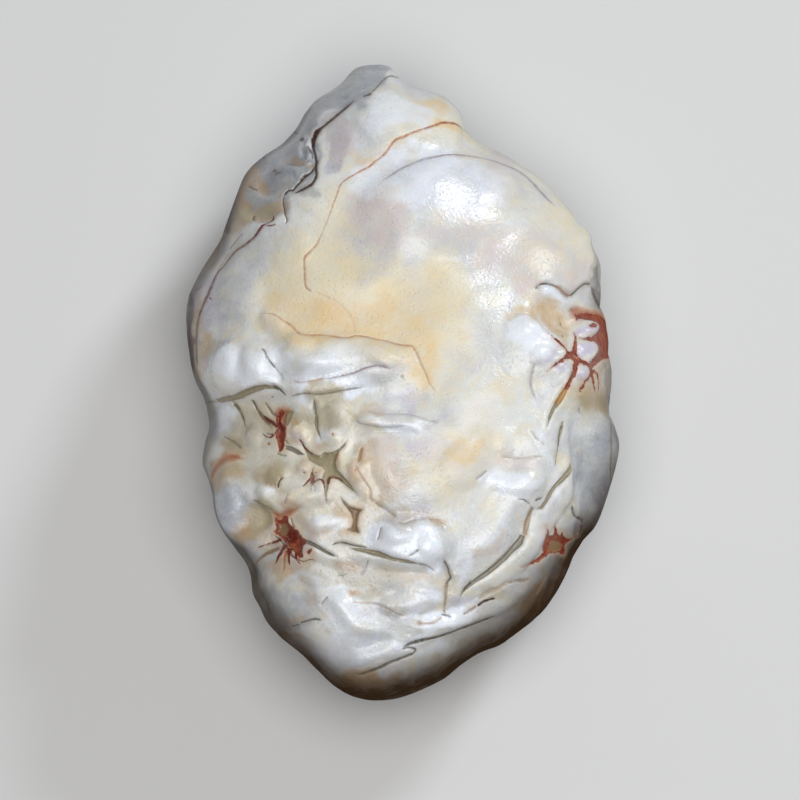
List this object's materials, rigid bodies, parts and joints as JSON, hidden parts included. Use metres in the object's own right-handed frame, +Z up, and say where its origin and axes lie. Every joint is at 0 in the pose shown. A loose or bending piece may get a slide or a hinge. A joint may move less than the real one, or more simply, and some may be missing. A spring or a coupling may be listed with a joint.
{
  "type": "agate pebble",
  "caption": "Natural wind-worn agate pebble: a smooth milky dome above a folded, pitted lower face with ledges, slits and rust-stained pits. Lies on a small flat spot on its back.",
  "frame": {"origin": "middle of the bounding box's underside, inside the small flat spot that the stone rests on", "axes": "+Y along the stone's length towards its narrow top end, +Z up through its folded face, +X to the right as the face is seen from above"},
  "size_m": [0.0434, 0.066, 0.0282],
  "materials": {
    "agate": "milky, finely pitted, waxy shine"
  },
  "bodies": {
    "root": {"agate_pebble": "agate"}
  },
  "joints": []
}
